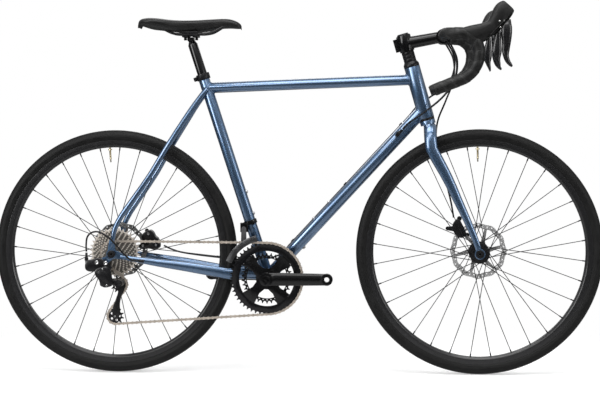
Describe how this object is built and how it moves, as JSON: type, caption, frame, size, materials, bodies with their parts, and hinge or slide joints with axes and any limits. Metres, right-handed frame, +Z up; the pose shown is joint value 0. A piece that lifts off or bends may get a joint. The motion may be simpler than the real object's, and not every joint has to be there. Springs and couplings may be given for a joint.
{
  "type": "road bicycle",
  "caption": "Drop-bar road bicycle with a round-tube frame, disc brakes, spoked wheels and a double chainset.",
  "frame": {"origin": "on the ground midway between the two axles, on the mid-plane", "axes": "+X forward, +Y to the rider's left, +Z up"},
  "size_m": [1.7219, 0.468, 1.0335],
  "materials": {
    "frame_paint": "deep metallic blue clear-coated paint",
    "black_paint": "satin black anodised or painted metal",
    "gloss_black": "gloss black",
    "black_plastic": "matt black plastic",
    "hood_rubber": "matt black rubber",
    "tape": "soft black bar tape",
    "saddle_cover": "black padded cover",
    "tyre": "black rubber tyre",
    "rim": "black anodised aluminium rim",
    "spoke": "black stainless spokes",
    "steel": "bright steel",
    "chain_steel": "plated steel chain",
    "alloy": "silver aluminium",
    "housing": "black cable housing"
  },
  "bodies": {
    "frame": {"head_tube": "frame_paint", "top_tube": "frame_paint", "down_tube": "frame_paint", "seat_tube": "frame_paint", "bottom_bracket_shell": "frame_paint", "chainstays": "frame_paint", "seatstays": "frame_paint", "dropouts": "frame_paint", "seat_collar": "black_paint", "bottle_bolts": "steel", "cable_stops": "black_paint", "headset_cups": "black_paint", "bearing_cups": "black_paint", "rear_axle": "black_paint", "rear_caliper": "black_paint", "rear_cable_housings": "housing", "chain": "chain_steel", "front_derailleur_body": "black_paint"},
    "front_derailleur": {"front_derailleur_cage": "alloy"},
    "seat": {"seatpost": "black_paint", "saddle_clamp": "black_paint", "saddle_rails": "black_paint", "saddle": "saddle_cover"},
    "fork": {"fork_steerer": "black_paint", "fork_blades": "frame_paint", "stem": "black_paint", "handlebar": "black_paint", "bar_tape": "tape", "brake_hoods": "hood_rubber", "front_axle": "black_paint", "front_caliper": "black_paint", "control_cables": "housing"},
    "right_lever": {"right_lever_block": "alloy"},
    "left_lever": {"left_lever_block": "alloy"},
    "right_blade": {"right_brake_lever": "black_paint"},
    "left_blade": {"left_brake_lever": "black_paint"},
    "right_paddle": {"right_shift_paddle": "black_paint"},
    "left_paddle": {"left_shift_paddle": "black_paint"},
    "front_wheel": {"front_tyre": "tyre", "front_rim": "rim", "front_spokes": "spoke", "front_hub": "black_paint", "front_rotor": "steel"},
    "rear_wheel": {"rear_tyre": "tyre", "rear_rim": "rim", "rear_spokes": "spoke", "rear_hub": "black_paint", "rear_rotor": "steel"},
    "cassette": {"cassette": "steel"},
    "crankset": {"right_crank": "gloss_black", "chainrings": "gloss_black", "left_crank": "gloss_black"},
    "front_brake_arm": {"front_caliper_arm": "black_paint"},
    "rear_brake_arm": {"rear_caliper_arm": "black_paint"},
    "rd_bracket": {"rd_bracket": "black_paint"},
    "rd_link": {"rd_links": "black_paint"},
    "rd_knuckle": {"rd_knuckle": "black_paint"},
    "rd_cage": {"rd_cage": "black_paint"},
    "guide_pulley": {"guide_pulley": "black_plastic"},
    "tension_pulley": {"tension_pulley": "black_plastic"}
  },
  "joints": [
    {"name": "seatpost_slide", "type": "slide", "parent": "frame", "child": "seat", "axis": [-0.304, 0, 0.9527], "range_m": [-0.04, 0.03]},
    {"name": "steering", "type": "hinge", "parent": "frame", "child": "fork", "pos_m": [0.36712, 0, 0.72388], "axis": [-0.2756, 0, 0.9613], "range_deg": [-70, 70], "deforming": ["control_cables"]},
    {"name": "front_wheel_spin", "type": "hinge", "parent": "fork", "child": "front_wheel", "pos_m": [0.515, 0, 0.346], "axis": [0, 1, 0], "continuous": true},
    {"name": "rear_wheel_spin", "type": "hinge", "parent": "frame", "child": "rear_wheel", "pos_m": [-0.515, 0, 0.346], "axis": [0, 1, 0], "continuous": true},
    {"name": "crank_spin", "type": "hinge", "parent": "frame", "child": "crankset", "pos_m": [-0.08077, 0, 0.275], "axis": [0, 1, 0], "continuous": true, "deforming": ["chain"]},
    {"name": "cassette_spin", "type": "hinge", "parent": "frame", "child": "cassette", "pos_m": [-0.515, 0, 0.346], "axis": [0, 1, 0], "continuous": true},
    {"name": "front_derailleur_shift", "type": "slide", "parent": "frame", "child": "front_derailleur", "axis": [0, 1, 0], "range_m": [0, 0.007], "stiffness_N_per_m": 300},
    {"name": "right_brake_pull", "type": "hinge", "parent": "fork", "child": "right_lever", "pos_m": [0.56588, -0.215, 0.98145], "axis": [0, 1, 0], "range_deg": [0, 10], "stiffness_Nm_per_rad": 2},
    {"name": "right_lever_shift", "type": "hinge", "parent": "right_lever", "child": "right_blade", "pos_m": [0.58588, -0.215, 0.96645], "axis": [1, 0, 0], "range_deg": [0, 12], "stiffness_Nm_per_rad": 1},
    {"name": "right_paddle_shift", "type": "hinge", "parent": "right_blade", "child": "right_paddle", "pos_m": [0.58588, -0.215, 0.96645], "axis": [1, 0, 0], "range_deg": [0, 10], "stiffness_Nm_per_rad": 1},
    {"name": "left_brake_pull", "type": "hinge", "parent": "fork", "child": "left_lever", "pos_m": [0.56588, 0.215, 0.98145], "axis": [0, 1, 0], "range_deg": [0, 10], "stiffness_Nm_per_rad": 2},
    {"name": "left_lever_shift", "type": "hinge", "parent": "left_lever", "child": "left_blade", "pos_m": [0.58588, 0.215, 0.96645], "axis": [1, 0, 0], "range_deg": [-12, 0], "stiffness_Nm_per_rad": 1},
    {"name": "left_paddle_shift", "type": "hinge", "parent": "left_blade", "child": "left_paddle", "pos_m": [0.58588, 0.215, 0.96645], "axis": [1, 0, 0], "range_deg": [-10, 0], "stiffness_Nm_per_rad": 1},
    {"name": "front_brake_arm", "type": "hinge", "parent": "fork", "child": "front_brake_arm", "pos_m": [0.45819, 0, 0.40715], "axis": [0, 1, 0], "range_deg": [-11.5, 0]},
    {"name": "rear_brake_arm", "type": "hinge", "parent": "frame", "child": "rear_brake_arm", "pos_m": [-0.42873, 0, 0.37198], "axis": [0, 1, 0], "range_deg": [0, 11.5]},
    {"name": "rd_bracket_swing", "type": "hinge", "parent": "frame", "child": "rd_bracket", "pos_m": [-0.551, 0, 0.325], "axis": [0, 1, 0], "range_deg": [0, 20], "stiffness_Nm_per_rad": 4, "deforming": ["rear_cable_housings"]},
    {"name": "rd_shift", "type": "hinge", "parent": "rd_bracket", "child": "rd_link", "pos_m": [-0.531, -0.073, 0.308], "axis": [1, 0, 0], "range_deg": [-12, 27], "stiffness_Nm_per_rad": 3},
    {"name": "rd_knuckle_turn", "type": "hinge", "parent": "rd_link", "child": "rd_knuckle", "pos_m": [-0.531, -0.09885, 0.26059], "axis": [1, 0, 0], "range_deg": [-27, 12]},
    {"name": "rd_cage_swing", "type": "hinge", "parent": "rd_knuckle", "child": "rd_cage", "pos_m": [-0.491, 0, 0.266], "axis": [0, 1, 0], "range_deg": [-20, 40], "stiffness_Nm_per_rad": 3},
    {"name": "guide_pulley_spin", "type": "hinge", "parent": "rd_cage", "child": "guide_pulley", "pos_m": [-0.498, -0.05478, 0.258], "axis": [0, 1, 0], "continuous": true},
    {"name": "tension_pulley_spin", "type": "hinge", "parent": "rd_cage", "child": "tension_pulley", "pos_m": [-0.51056, -0.05478, 0.16787], "axis": [0, 1, 0], "continuous": true}
  ],
  "couplings": [
    {"joint": "cassette_spin", "follows": "crank_spin", "ratio": 2.9412},
    {"joint": "front_brake_arm", "follows": "left_brake_pull", "ratio": -1.1},
    {"joint": "rear_brake_arm", "follows": "right_brake_pull", "ratio": 1.1},
    {"joint": "rd_knuckle_turn", "follows": "rd_shift", "ratio": -1}
  ]
}
